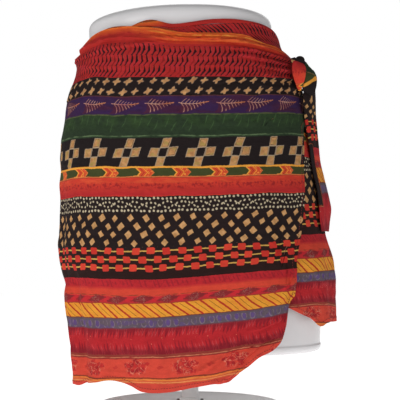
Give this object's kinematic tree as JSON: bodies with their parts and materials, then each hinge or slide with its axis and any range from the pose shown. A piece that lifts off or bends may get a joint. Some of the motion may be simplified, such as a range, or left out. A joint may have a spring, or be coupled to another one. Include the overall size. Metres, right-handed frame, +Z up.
{
  "type": "wrap skirt on a hip form",
  "caption": "Short wrap skirt of banded printed cloth, lapped at the front and knotted at one side, worn round a smooth limbless hip form on a pole with a round base.",
  "frame": {"origin": "centre of the base plate's underside", "axes": "+Z up along the pole, the skirt's front faces -Y, and the wearer's left, where the knot is, is +X"},
  "size_m": [0.3591, 0.2491, 0.5159],
  "materials": {
    "printed_cloth": "printed cotton, matt with a faint sheen",
    "tie_cloth": "the same printed cotton, cut across its bands",
    "form_shell": "glossy white shell",
    "stand_metal": "smooth white powder coat"
  },
  "bodies": {
    "root": {"front_panel": "printed_cloth", "back_panel": "printed_cloth", "under_panel": "printed_cloth", "waist_roll": "printed_cloth", "tie_tail": "tie_cloth", "knot_core": "tie_cloth", "knot_loop": "tie_cloth", "knot_back": "tie_cloth", "knot_wrap": "tie_cloth", "knot_stub": "tie_cloth", "form_body": "form_shell", "stand_pole": "stand_metal", "stand_base": "stand_metal"}
  },
  "joints": []
}
